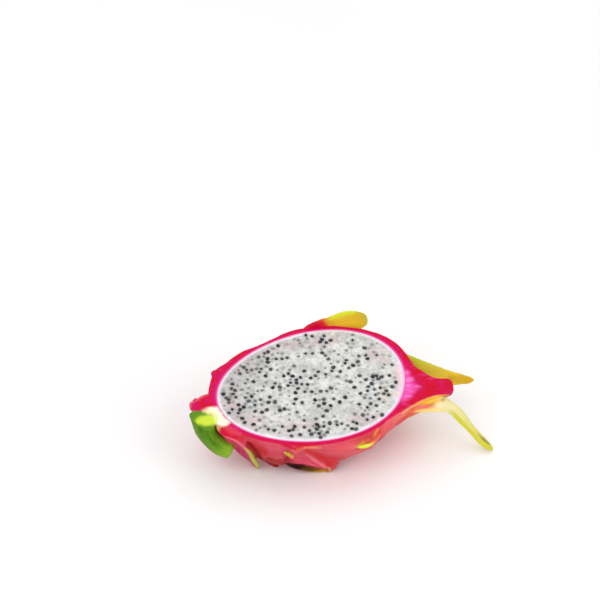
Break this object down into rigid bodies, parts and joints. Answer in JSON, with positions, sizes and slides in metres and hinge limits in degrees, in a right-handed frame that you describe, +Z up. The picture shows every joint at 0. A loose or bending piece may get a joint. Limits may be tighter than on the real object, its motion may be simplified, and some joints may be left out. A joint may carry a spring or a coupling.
{
  "type": "dragon fruit half",
  "caption": "Half of a white-fleshed dragon fruit cut lengthwise, lying on its skin, with seeded flesh, scale leaves, a cut neck and a stem stub",
  "frame": {"origin": "middle of the small flat spot on the belly that the half rests on", "axes": "+Z up; +X from the stem end to the neck along the fruit; -Y towards the side that the cut face leans to"},
  "size_m": [0.1579, 0.083, 0.0525],
  "materials": {
    "peel": "waxy crimson rind with yellow-green scale tips",
    "flesh": "moist translucent white flesh with black seeds",
    "stem": "waxy green stem skin with a pale cut face"
  },
  "bodies": {
    "root": {"peel": "peel", "flesh": "flesh", "stem": "stem"}
  },
  "joints": []
}
